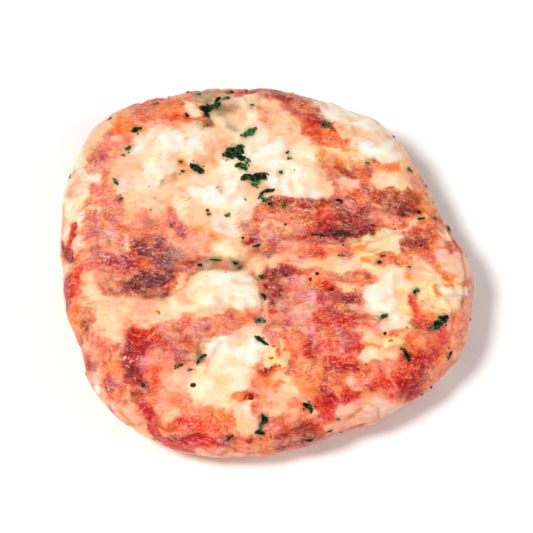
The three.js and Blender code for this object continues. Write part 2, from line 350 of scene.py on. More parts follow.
    ("yellow", -0.6, -16, -0.4, -18, 0.9), ("peach", 0.6, -14.2, 1.4, -16, 0.4),
    # the near left
    ("pink", -20, -10.8, -13, -11, 1.7), ("peach", -14, -9.4, -9, -8.8, 1.1),
    ("salmon", -13, -10.8, -5, -9.2, 1.4), ("pink", -16, -12.4, -9, -12, 1.4),
    # The crimson, red and maroon strip along the near left edge, at u about -26 to -28, is red lean
    # made darker by painted shadow.
    ("coral", -12.4, -13.3, -8.8, -13.6, 0.6), ("crimson", -26.2, -13, -26.8, -20.8, 2.4),
    ("red", -25.8, -14, -26.6, -20.4, 1.9), ("maroon", -27.8, -15, -28.2, -20, 0.7),
    ("coral", -24.6, -12.4, -22.4, -13.6, 1.2), ("mauve", -25, -15, -23, -16, 1.1),
    ("red", -25.8, -14, -26, -19.4, 1.1), ("rose", -23.6, -18.6, -18, -17.4, 2),
    ("mauve", -18.6, -15.6, -14, -14.8, 1.3), ("clear", -17, -17.8, -13.6, -15.8, 0.9),
    ("mauve", -19.8, -17.4, -17, -17.8, 0.7), ("maroon", -25.8, -22.4, -25, -23.4, 0.8),
    ("brown", -27.2, -24.8, -26, -26.6, 0.8), ("coral", -23.6, -20.6, -22.6, -26, 1.5),
    ("crimson", -25, -27.4, -24.6, -29.4, 1.2), ("shell", -29, -28.4, -24, -31.4, 1.3),
    ("peach", -28, -31.4, -23.6, -33, 1), ("shell", -21.4, -23.4, -17, -21.4, 1.7),
    ("salmon", -20.4, -25.4, -17.4, -25.8, 1.2), ("shell", -21.8, -27.2, -19.4, -28, 1.3),
    ("coral", -18.4, -29.4, -14, -29.4, 0.9), ("crimson", -23.6, -30.8, -22.4, -32.6, 0.7),
    ("maroon", -19.6, -33.2, -15, -33.4, 0.9), ("crimson", -20.8, -34.4, -14, -34.2, 0.7),
    ("shell", -14, -35.6, -6, -36, 1.1), ("white", -10, -16, -4.4, -15.4, 3),
    ("white", -11.6, -17.8, -9, -18, 1.3), ("cream", -12, -20.6, -6, -20.6, 2.6),
    ("white", -9.2, -21.4, -7, -21.6, 1.5), ("cream", -14, -23, -8, -23.4, 2.2),
    ("orange", -13.6, -28.2, -9.4, -27.8, 0.9), ("orange", -7.4, -25.4, -5.2, -24.8, 0.9),
    ("yellow", -9, -26.8, -7.6, -26.4, 0.9), ("red", -4.8, -25.2, -3.6, -25, 0.6),
    ("cream", -6, -27.8, -5.2, -29.4, 1.7), ("white", -5.8, -27.6, -5.2, -28.8, 0.9),
    ("peach", -5.6, -30.6, -5, -31.8, 1.5), ("coral", -13, -31, -9.4, -31.6, 1.2),
    ("mauve", -9.4, -33.4, -7.6, -34.2, 1), ("orange", -5.6, -34, -1, -34, 1.2),
    ("red", -5, -33.8, -4.4, -33.2, 0.5),
    # the near middle edge
    ("orange", -3, -22.4, -0.6, -22.8, 1.4), ("red", -2.4, -19.9, -0.8, -19.7, 0.4),
    ("yellow", 1.4, -20.8, 4, -22.4, 1.3), ("cream", 2.6, -24.4, 4.6, -23.8, 0.8),
    ("peach", 2, -26.4, 3.4, -26, 1.3), ("salmon", 4, -26.6, 6, -28.2, 0.9),
    ("orange", 6.8, -21, 8.4, -25, 2), ("coral", 8.2, -26, 8.8, -27.4, 1),
    # The brown strips from v about -31.5 to -34, the red spot and the coral at v about -30.4 are redder
    # and darker partly as painted shade along the near rim.
    ("salmon", 2.6, -19.2, 6.4, -20, 0.9), ("brown", 3.6, -31.4, 9, -31.6, 1.2),
    ("red", 0.4, -32.6, 2.4, -32.2, 0.8), ("brown", 2, -34.8, 10, -33.4, 1.1),
    ("coral", 9, -30.4, 14, -30.4, 1),
    # the near right
    ("red", 11, -19.2, 12.4, -20, 0.9), ("coral", 12.6, -17.4, 15.6, -18.2, 1.1),
    ("red", 12.2, -18.8, 16.6, -19.8, 0.7), ("red", 10.6, -23.6, 11.4, -27, 1.2),
    # The coral streak from (10, -29) to (15.4, -29.4) is darker partly as painted shade toward the near
    # rim.
    ("crimson", 12.6, -25.4, 15.6, -24.8, 1.3), ("coral", 10, -29, 15.4, -29.4, 1.3),
    ("salmon", 12, -21.4, 12.6, -23, 0.9), ("shell", 14.8, -21.6, 16.2, -23.6, 0.9),
    ("coral", 20.6, -21.6, 23.6, -21.2, 1), ("shell", 22.2, -19.6, 22.4, -21.4, 0.5),
    ("coral", 22.6, -24, 24, -23.4, 0.9), ("crimson", 28.6, -17, 27.6, -23.6, 3),
    ("red", 28.8, -18.4, 28, -23.2, 2.2), ("maroon", 30, -18.8, 29.2, -22.4, 0.6),
    ("red", 26.4, -19.6, 26.2, -24.4, 1.2), ("crimson", 30.4, -15.8, 29.8, -18, 0.9),
    ("salmon", 31.4, -19.6, 29.4, -23, 0.7), ("coral", 26.6, -12.6, 31, -13.2, 1.8),
    ("brown", 27, -10.8, 28.6, -11.6, 0.9), ("orange", 27, -14.8, 29, -14.6, 0.9),
    ("shell", 33.8, -10.6, 35.4, -17, 1.1), ("coral", 27, -5.8, 28, -9.6, 0.9),
    ("blush", 13.4, -28.8, 22.8, -26.4, 1.8), ("shell", 10, -31, 18, -29.4, 0.8),
    ("white", 20.2, -4.6, 22.8, -4.4, 3.1), ("white", 22.6, -3, 24, -3, 2.3),
    ("salmon", 15.4, -1.8, 18.4, -2.2, 0.9), ("white", 22.4, -8, 23.4, -10.6, 2.3),
    ("yellow", 25, -5.4, 26, -9, 0.9), ("shell", 26, -1, 27.4, -2.6, 0.9),
    ("ochre", 26.4, -2, 27.2, -1.6, 0.25), ("cream", 28.6, -1, 33, -1.6, 1.2),
    ("orange", 31.4, -0.6, 35, -2.2, 0.5), ("orange", 32.4, -2.8, 34.4, -3.2, 0.4),
    ("yellow", 29.6, -4.6, 33, -6.8, 2.3), ("ochre", 31.4, -3.9, 31.6, -5.2, 0.3),
    # The white streak from (33, -4.2) to (36.4, -5) is a painted highlight on the yellow fat.
    ("white", 33, -4.2, 36.4, -5, 0.7), ("cream", 17.6, -16.6, 20.6, -16.6, 1.3),
    ("yellow", 21.6, -14.4, 24, -14.2, 1.1), ("orange", 22.4, -13.2, 24.8, -12.4, 0.4),
    ("peach", 21.4, -16.6, 23.6, -16.4, 0.8), ("coral", 24.4, -17.4, 25.2, -18.6, 1),
]

# Seams between handfuls, as seen: their bends, depth and half-width, in mm; the material darkens them
# as painted shade.
SEAMS = [
    ([(-25, -5.7), (-19, -4.5), (-15.6, -0.8), (-11, 0.7), (-6.6, 0.2), (-3.6, 3)], 0.55, 0.5),
    ([(-3.6, 3), (1, 3.8), (8, 5.4), (19, 5.4), (29, 9.2)], 0.35, 0.45),
    ([(-4, -0.8), (-1.9, -3.6), (-1.9, -7), (-3.4, -9)], 0.6, 0.5),
    ([(-0.6, -1.6), (3.4, -0.8)], 0.5, 0.3),
    ([(-17, 1), (-14.4, 2.3)], 0.4, 0.3),
    ([(-23, -30.4), (-22.2, -33.6)], 0.6, 0.4),
    ([(30.6, 10.6), (33.6, 7.6), (36, 3.6), (36.8, -2), (36.2, -8)], 0.5, 0.3),
    ([(28.4, 12.4), (31.6, 8.6), (34.6, 3.4)], 0.3, 0.3),
    ([(34.8, -8.6), (34.4, -13), (31.8, -18.4)], 0.4, 0.35),
    ([(24.6, 24), (27.6, 19.6), (29.4, 15.6)], 0.3, 0.3),
    ([(0.6, -26.6), (-2.4, -27), (-2.6, -32)], 0.3, 0.4),
    ([(-10, -14), (-12.4, -17), (-13, -20.4)], 0.35, 0.4),
    ([(9.4, 26), (5.6, 30.6), (1, 33)], 0.3, 0.4),
    ([(15.6, -5), (17.6, -8), (20.6, -9.8), (20.6, -12.6)], 0.4, 0.4),
    ([(7, 10), (14, 9.6), (20, 11.8), (26, 10)], 0.4, 0.35),
    ([(6, 7), (12, 7.6), (16, 6.4)], 0.4, 0.3),
]

# Olive stains where herbs were pressed in, as seen: middle and radius, in mm.
STAINS = [
    (-12.4, 31, 3), (-8.6, 31.6, 2), (-7.4, 21.6, 2.4), (-4.2, 16.8, 2.6), (-1.6, 13.6, 1.6),
    (-13.6, 0.8, 1.6), (-8, 0.4, 1.9), (-3.4, 3.6, 1.5), (-2.2, -2.2, 1.6), (-2.6, -10.4, 1.8),
    (-14.2, -17, 2), (-18, -19.4, 1), (-9, 9.4, 1.2), (11.6, 20.6, 1.6), (31.4, -10.6, 2.4),
    (-2.2, -31, 1.8), (25.6, -17, 1.4), (-31, 29, 1.6),
]

# The colours of dried leaves; TEAL is partly a painted highlight on them.
GREEN = (12, 48, 30)
DARK = (5, 25, 18)
FRESH = (30, 96, 56)
TEAL = (58, 100, 88)
OLIVE = (98, 92, 44)
BRIGHT = (112, 118, 40)

# Herb flakes: where seen, length and width in mm, turn in degrees, colour.
HERBS = [
    (-31.5, 28.5, 0.9, 0.5, 40, OLIVE), (-26.4, 26.5, 2.2, 1.3, 20, GREEN),
    (-22.6, 31.4, 1.1, 0.6, 10, TEAL), (-28, 22.8, 1.3, 0.9, 30, FRESH),
    (-29, 21.5, 0.6, 0.4, 0, OLIVE), (-16.8, 29.2, 1.1, 0.7, -70, GREEN),
    (-12.8, 30.4, 3.2, 1.7, 5, DARK), (-13, 29.3, 1.7, 1, -60, GREEN),
    (-11.4, 30.9, 2.6, 1.6, 40, GREEN), (-10.8, 32.1, 2, 1.2, 60, DARK),
    (-9.2, 32.4, 1.5, 0.9, 20, OLIVE), (-8.4, 33.4, 1.6, 1.2, 50, OLIVE),
    (-14.5, 33.2, 1, 0.7, 0, OLIVE), (-12.6, 27.3, 0.9, 0.7, 0, OLIVE),
    (-5.6, 25.3, 1.9, 0.8, 15, TEAL), (-4.5, 26, 2.8, 1.6, 30, FRESH), (-4.2, 31.2, 0.8, 0.5, 0, TEAL),
    (-7.7, 22.3, 3.7, 2.7, 10, GREEN), (-8.7, 21.6, 2.3, 1.6, -20, DARK),
    (-6.7, 22.9, 2, 1.4, 40, FRESH), (-6.5, 21.2, 2.3, 1.7, -50, DARK),
    (-6.1, 19.4, 2.7, 1.6, -30, FRESH), (-5.2, 20.3, 1.4, 0.8, 60, TEAL),
    (-4.9, 17.3, 2.9, 1.7, -5, GREEN), (-3.4, 17, 2.9, 2, 20, DARK), (-3.6, 15.9, 1.7, 0.9, 10, FRESH),
    (-2.3, 17.4, 2.1, 1.3, -30, GREEN), (-1.6, 17.9, 1.3, 0.4, -20, OLIVE),
    (-2.5, 13.7, 1.7, 0.7, 60, TEAL), (-1.7, 13, 1.9, 0.6, -10, TEAL),
    (-1.1, 14.6, 2.6, 0.8, 15, GREEN), (-0.8, 12.1, 0.9, 0.6, 0, DARK), (-1.9, 12.7, 0.9, 0.6, 0, TEAL),
    (-14.8, 18.9, 3.4, 1.5, -38, GREEN), (-17.6, 18.4, 0.8, 0.6, 0, OLIVE),
    (-18, 20.3, 0.8, 0.4, 0, OLIVE), (-8.9, 9.9, 1.2, 0.7, 30, BRIGHT),
    (-12.6, 10.1, 0.8, 0.6, 0, OLIVE), (-19.9, 8, 0.8, 0.4, 80, BRIGHT),
    (-11.3, 1.3, 2.2, 0.4, -5, DARK), (-14.3, 0.4, 0.9, 0.6, 0, GREEN), (-7.4, 0.6, 1, 0.8, 0, DARK),
    (-6.6, -0.2, 0.8, 0.5, 0, OLIVE), (-3.2, 4.1, 1.6, 0.5, 15, GREEN),
    (-30.5, 16.4, 1.8, 0.7, -60, TEAL), (-29.4, 13.2, 0.8, 0.6, 0, TEAL),
    (9.8, 27.2, 1.3, 1.2, 0, FRESH), (2.6, 22, 0.7, 0.4, 40, OLIVE), (2.9, 20.9, 0.8, 0.4, -20, BRIGHT),
    (1.3, 18.2, 0.7, 0.6, 0, OLIVE), (1.9, 11.8, 1.3, 1, 80, BRIGHT),
    (12.6, 12.8, 1.4, 0.8, -30, GREEN), (27.8, 10.5, 0.9, 0.7, 0, DARK),
    (28.3, 9.3, 1.6, 0.6, 15, GREEN), (31, 9.3, 0.8, 0.5, 0, OLIVE), (33.6, 7.4, 1.2, 0.8, -50, GREEN),
    (26.1, 18.6, 1.2, 0.8, -40, OLIVE), (18, 20, 0.8, 0.5, 0, OLIVE), (8.7, 6.1, 3.4, 0.4, -3, DARK),
    (12.6, 6.4, 2.6, 0.35, 8, GREEN), (20.3, 0.9, 0.9, 0.9, 0, GREEN),
    (20.9, 2.1, 0.8, 0.35, 10, FRESH), (13, 2.2, 1.3, 0.4, -10, OLIVE), (19, 6.2, 0.8, 0.6, 0, OLIVE),
    (26, 0, 0.6, 0.4, 0, OLIVE), (-1.9, -5.7, 1.7, 0.7, -65, DARK), (-2.3, -1.9, 1.8, 1, -10, OLIVE),
    (-2.7, -10.3, 1.9, 1.3, 0, TEAL), (-2.6, -14.2, 2.9, 1.2, -35, GREEN),
    (-14.2, -17.7, 2.8, 0.9, 50, TEAL), (-18.4, -19.1, 2, 0.4, 35, OLIVE),
    (-16.2, -19.8, 0.8, 0.5, 20, OLIVE), (-8.6, -32.8, 1.6, 0.5, 45, GREEN),
    (-2, -29.2, 2, 1.7, -60, DARK), (-2.5, -30.6, 2.1, 1, 70, TEAL), (-2.7, -31.8, 1.9, 1.1, -10, DARK),
    (27.3, -4.6, 1.4, 1, 30, FRESH), (21.1, -9.5, 1.8, 0.9, 35, FRESH), (31.5, -11, 2.3, 1.6, 40, DARK),
    (30.8, -11.7, 1.6, 1.1, 0, FRESH), (32.6, -10.1, 2.1, 1.5, 15, DARK),
    (25.5, -17, 2.6, 1.1, -65, GREEN), (24.6, -15.8, 0.8, 0.5, 0, TEAL),
    (6.3, -26.6, 1.7, 1.1, -20, DARK), (7, -27.2, 1.6, 0.9, -60, GREEN),
    (6.8, -33.3, 1.3, 1.1, 45, GREEN), (12.3, -29.2, 0.9, 0.3, -30, OLIVE),
    (33.8, -17, 1.8, 0.6, 60, GREEN), (10.6, -31.6, 1.2, 0.4, 0, OLIVE),
]

# Cracked pepper: where seen and how big, in mm.
PEPPER = [
    (-12.8, 10.9, 1), (-6, 5.6, 0.8), (14, 6.7, 0.7), (2.2, 8.2, 0.6), (3.5, 9.4, 0.45),
    (13.3, 4.2, 0.7), (28.3, 4.1, 0.7), (23, 8.2, 0.4), (23.3, 7.3, 0.5), (-25.2, -22.8, 1),
    (-15.6, -22.7, 1.5), (-24.6, -22.2, 0.6), (-0.5, -19.3, 0.5), (1.1, -19, 0.5), (-0.7, -32.7, 0.5),
    (8.3, -1.3, 0.9), (21.3, -12.8, 1), (17.7, -18.7, 0.45), (5, 2, 0.4), (-23.7, 11, 0.5),
]

# The colours of spices.
CHILLI = (214, 62, 20)
DARK_CHILLI = (146, 36, 10)
PAPRIKA = (238, 132, 30)
MUSTARD = (206, 148, 34)

# Chilli and mustard flakes: where seen and how big, in mm, and colour.
SPICES = [
    (-9.2, 33.6, 0.9, MUSTARD), (3, 32.3, 1, CHILLI), (-5.2, 33.8, 1.1, CHILLI),
    (-22.3, -8.7, 0.8, PAPRIKA), (-1.6, -3.7, 1, DARK_CHILLI), (-4.4, -25.2, 1, DARK_CHILLI),
    (-1.6, -19.9, 0.9, DARK_CHILLI), (-4.8, -33.6, 1, CHILLI), (-0.6, -17.6, 0.8, PAPRIKA),
    (0, -15.3, 0.7, PAPRIKA), (-12, -13.3, 0.9, PAPRIKA), (-7.6, -29.2, 0.5, MUSTARD),
    (7, -2.4, 0.7, DARK_CHILLI), (11, -4.4, 1, DARK_CHILLI), (12.9, -4.4, 0.6, MUSTARD),
    (22.4, -14.2, 0.8, PAPRIKA), (23.6, -13.2, 0.7, PAPRIKA), (25.6, -11.7, 0.6, PAPRIKA),
    (28.6, -6.6, 0.5, MUSTARD), (-5.5, 13, 0.5, MUSTARD), (-10.9, 15.3, 0.45, MUSTARD),
    (7, -17, 0.8, CHILLI),
]

# How often each kind turns up where the photograph doesn't show the surface.
MIX = {
    "white": 9, "cream": 12, "peach": 10, "shell": 10, "yellow": 3, "pink": 9, "rose": 6,
    "salmon": 12, "orange": 6, "coral": 10, "crimson": 5, "red": 5, "mauve": 7, "brown": 5,
    "maroon": 5, "dark": 2, "grey": 3,
}

# The mix is strewn in two rounds: a seed, how many, how long at most and the radii, in mm.
MIX_ROUNDS = [(11, 420, 9.0, (1.0, 3.2)), (12, 260, 5.0, (0.6, 1.5))]

# Shreds all over: a seed, how far apart they lie in mm, what they are and how rare.
FLECKS = [
    (61, 2.6, "coral", 0.52), (62, 3.4, "shell", 0.50), (63, 2.2, "maroon", 0.62),
    (64, 1.9, "cream", 0.58), (65, 3.0, "orange", 0.60), (66, 2.4, "peach", 0.50),
]
FLECK_WEIGHT = 0.55
FAT_SPREAD = 1.8  # mm over which fats run into each other
LEAN_SPREAD = 1.17
EDGE_WARMTH = np.array([0.99, 0.83, 0.72])  # what a fat patch's thin edge does to its colour
THIN_WARMTH = np.array([1.0, 0.84, 0.66])  # what thinner fat within a patch does


# ---------------------------------------------------------------- painting the mince on the skin
def linear(colour):
    """A 0 to 255 display colour as scene linear values."""
    c = np.array(colour, float) / 255
    return np.where(c <= 0.04045, c / 12.92, ((c + 0.055) / 1.055) ** 2.4)


def tongues(points, heading, seed):
    """Pushes along a heading, in degrees, that leave smears with ends like tongues."""
    c = math.cos(math.radians(heading))
    s = math.sin(math.radians(heading))
    along = np.array([c, s, 0])
    local = points @ np.array([along, (-s, c, 0), (0, 0, 1)]).T
    push = 0.9 * Noise(seed, 2.4)(local, (4, 1, 1)) + 0.4 * Noise(seed + 1, 1.2)(local, (4, 1, 1))
    return push[:, None] * along


def distance_to_stretch(points, start, end):
    """How far points lie from the stretch between two points."""
    offset = points - start
    run = np.subtract(end, start)
    share = np.clip(offset @ run / max(run @ run, 1e-9), 0, 1)
    return np.linalg.norm(offset - share[:, None] * run, axis=1)


class Mince:
    """What each vertex of the skin is made of, painted patch over patch."""

    def __init__(self, points, normals):
        count = len(points)
        self.points = points
        self.normals = normals
        self.lean = np.tile(linear(STUFFS["salmon"][0]), (count, 1))
        self.fat = np.tile(linear(STUFFS["cream"][0]), (count, 1))
        self.fatness = np.zeros(count)
        self.proud = np.zeros(count)
        self.facing = smoothstep(0.04, 0.28, normals @ TO_CAMERA)
        self.spots = warped(points, 40, [(7.0, 0.7), (2.8, 0.6), (1.3, 0.3)])
        pick = smoothstep(-0.2, 0.2, Noise(44, 16.0)(points))[:, None]
        self.spots += tongues(points, 12, 45) * (1 - pick) + tongues(points, -50, 48) * pick
        self.seen_spots = seen(self.spots)
        self.softness = 0.8 + 2.4 * smoothstep(-0.35, 0.45, Noise(47, 9.0)(points))

    def paint(self, name, inside, weight, radius=1.0):
        """Lays a patch down: inside is how far each vertex lies in from its edge, in mm."""
        colour, fatness, proud = STUFFS[name]
        colour = linear(colour)
        size = min(radius / 2.0, 1.0)
        crown = smoothstep(-0.8, 2.4, inside)
        if fatness > 0:
            tint = self.fat
            spread = FAT_SPREAD * size
            colour = colour * (EDGE_WARMTH + (1 - EDGE_WARMTH) * crown[:, None])
        else:
            tint = self.lean
            spread = LEAN_SPREAD
        wide = smoothstep(-spread - 0.5, spread - 0.5, inside) * weight
        tint += wide[:, None] * (colour - tint)
        soft = self.softness * max(size, 0.3)
        self.fatness += smoothstep(-soft, soft, inside) * weight * (fatness - self.fatness)
        rise = smoothstep(-1.6, 1.2, inside) * weight
        self.proud += rise * (proud * crown - 0.6 * self.proud)

    def paint_unseen(self, seed, count, longest, radii):
        """Strews patches of every kind all over the skin."""
        rng = np.random.default_rng(seed)
        odds = np.array(list(MIX.values())) / sum(MIX.values())
        for name in rng.choice(list(MIX), size=count, p=odds):
            at = rng.integers(len(self.points))
            heading = np.cross(self.normals[at], rng.normal(size=3))
            half = heading / np.linalg.norm(heading) * rng.uniform(0, longest) / 2
            radius = rng.uniform(*radii)
            ends = self.points[at] - half, self.points[at] + half
            self.paint(name, radius - distance_to_stretch(self.spots, *ends), 1.0, radius)

    def paint_seen(self):
        """Lays down the patches that the photograph shows."""
        for name, u1, v1, u2, v2, radius in PATCHES:
            away = distance_to_stretch(self.seen_spots, (u1, v1), (u2, v2))
            self.paint(name, radius - away, self.facing, radius)

    def paint_flecks(self):
        """Small shreds of other mince pressed into every patch."""
        browner = self.lean[:, 1] / self.lean[:, 0]
        sparing = smoothstep(-1.3, -1.1, self.fatness) * smoothstep(0.02, 0.09, browner)
        for seed, wavelength, name, least in FLECKS:
            weight = FLECK_WEIGHT * sparing
            if STUFFS[name][1] < 0:
                weight = weight * smoothstep(0.7, -0.2, self.fatness)
            self.paint(name, (Noise(seed, wavelength)(self.spots) - least) * wavelength, weight)

    def vary(self):
        """Gives every patch lighter, warmer and fattier parts."""
        deep = layered(self.spots, (0.16, 101, 5.0), (0.12, 102, 2.4))
        warm = layered(self.spots, (0.20, 103, 7.0), (0.12, 104, 3.0))
        shift = np.stack([deep * 0.35, deep + warm * 0.6, deep + warm], axis=1)
        self.lean = np.clip(self.lean * np.exp(1.5 * shift), 0, 1)
        thin = smoothstep(0.05, 0.6, layered(self.spots, (1.0, 105, 5.0), (0.6, 106, 2.2)))
        self.fat *= 1 - (1 - THIN_WARMTH) * (0.4 * thin)[:, None]
        self.fatness += layered(self.spots, (0.40, 107, 4.2), (0.30, 108, 2.0))


def paint_mince(points, normals):
    mince = Mince(points, normals)
    for mix_round in MIX_ROUNDS:
        mince.paint_unseen(*mix_round)
    mince.paint_seen()
    mince.paint_flecks()
    mince.vary()
    return mince


# ---------------------------------------------------------------- relief
CLUMP_SPACING = 6.0  # mm
PROUD_HEIGHT = 1.25  # mm that a kind of mince stands out, times how proud it is
SKIN_CLEARANCE = 0.12  # mm kept free inside the CAD box, for what lies on the skin
STAIN_REACH = 0.5  # mm round a herb flake


def clump_field(points, seed):
    """Distances to the nearest and second nearest of scattered clump middles."""
    rng = np.random.default_rng(seed)
    bounds = zip(points.min(axis=0) - CLUMP_SPACING, points.max(axis=0) + CLUMP_SPACING)
    axes = [np.arange(low, high, CLUMP_SPACING) for low, high in bounds]
    grid = np.stack(np.meshgrid(*axes, indexing="ij"), -1).reshape(-1, 3)
    grid += rng.uniform(-0.42, 0.42, size=grid.shape) * CLUMP_SPACING
    tree = KDTree(len(grid))
    for k, middle in enumerate(grid):
        tree.insert(middle, k)
    tree.balance()
    return np.array([[hit[2] for hit in tree.find_n(p, 2)] for p in points]).T


def relief(points, normals, mince):
    """How far the skin stands out from the CAD solid, in mm, and its crevices from 0 to 1, which the
    material darkens as painted shade.
    """
    spots = warped(points, 70, [(5.0, 1.0), (1.8, 0.4)])
    nearest, second = clump_field(spots, 5)
    wild = 1 - 0.55 * smoothstep(0.5, 0.95, normals[:, 2])
    some = smoothstep(-0.05, 0.3, Noise(81, 9.0)(points))
    # Crevices between clumps: sunk in the relief, and darkened in the material as painted shade.
    crevice_shade = np.exp(-(((second - nearest) / 0.5) ** 2)) * some * wild
    height = 0.30 * wild * (1 - (nearest / 4.0) ** 2) - 0.45 * crevice_shade
    height += PROUD_HEIGHT * mince.proud
    height += 0.16 * Noise(82, 4.0)(points) + 0.10 * Noise(83, 1.9)(spots)
    lean = smoothstep(0.3, -0.5, mince.fatness)
    height -= 0.16 * lean * smoothstep(0.16, 0.0, np.abs(Noise(84, 1.7)(spots)))
    height += (0.03 + 0.05 * lean) * Noise(85, 0.95)(spots)
    seen_spots = seen(warped(points, 75, [(4.0, 0.5), (1.5, 0.25)]))
    for bends, depth, half_width in SEAMS:
        stretches = zip(bends[:-1], bends[1:])
        away = np.min([distance_to_stretch(seen_spots, *ends) for ends in stretches], axis=0)
        line = np.exp(-((away / half_width) ** 2)) * mince.facing
        height -= depth * line
        crevice_shade = np.maximum(crevice_shade, line * depth / 0.7)
    return height, np.clip(crevice_shade, 0, 1)


def fit_to_cad(points):
    """Points scaled a touch along each axis, so that they fill the CAD box less the clearance."""
    low = CAD_LOW + SKIN_CLEARANCE * np.array([1, 1, 0])
    high = CAD_HIGH - SKIN_CLEARANCE
    own_low = points.min(axis=0)
    own_high = points.max(axis=0)
    return low + (points - own_low) * (high - low) / (own_high - own_low)


def build_skin():
    """The skin's points, its faces, what it is made of and its crevices, for painted shade."""
    place, rise, quads = skin_layout()
    ends = edge_ends(quads)
    base = smoothed(base_points(place, rise), ends, SMOOTHING)
    normals = normals_of(base, quads)
    mince = paint_mince(base, normals)
    height, crevice_shade = relief(base, normals, mince)
    height = smoothed(height, ends, 1)
    under = smoothstep(-0.75, -0.97, normals[:, 2])
    height = height * (1 - under) + under * np.minimum(0.6 * height - 0.1, 0)
    return fit_to_cad(base + normals * height[:, None]), quads, mince, crevice_shade


def stain_near(points, herbs, facing):
    """From 0 to 1, how stained points are by the herbs (x, y, z, size) in mm, or by STAINS."""
    stain = np.zeros(len(points))
    for x, y, z, size in herbs:
        away = np.linalg.norm(points - (x, y, z), axis=1) - size / 2
        stain = np.maximum(stain, np.exp(-((np.maximum(away, 0) / STAIN_REACH) ** 2)))
    places = seen(warped(points, 90, [(3.0, 0.9), (1.4, 0.5)]))
    patchy = smoothstep(-0.45, 0.45, Noise(95, 1.8)(points))
    for u, v, radius in STAINS:
        away = np.linalg.norm(places - (u, v), axis=1)
        stain = np.maximum(stain, 0.9 * smoothstep(radius, 0.2 * radius, away) * patchy * facing)
    return stain


# ---------------------------------------------------------------- pieces
def mesh_piece(name, points, faces, material):
    """A smooth-shaded piece in the frame's metres, from points in millimetres."""
    mesh = bpy.data.meshes.new(name)
    mesh.from_pydata((points * MM).tolist(), [], [tuple(f) for f in faces])
    mesh.validate()
    mesh.update()
    mesh.polygons.foreach_set("use_smooth", [True] * len(mesh.polygons))
    mesh.materials.append(material)
    piece = bpy.data.objects.new(name, mesh)
    bpy.context.scene.collection.objects.link(piece)
    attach(piece, "root")
    return piece


def give_colour(piece, name, colours):
    """Gives each vertex a colour that the material reads by name."""
    rgba = np.ones((len(colours), 4), np.float32)
    rgba[:, :3] = colours
    attribute = piece.data.color_attributes.new(name, "FLOAT_COLOR", "POINT")
    attribute.data.foreach_set("color", rgba.ravel())


def give_value(piece, name, values):
    attribute = piece.data.attributes.new(name, "FLOAT", "POINT")
    attribute.data.foreach_set("value", values.astype(np.float32))


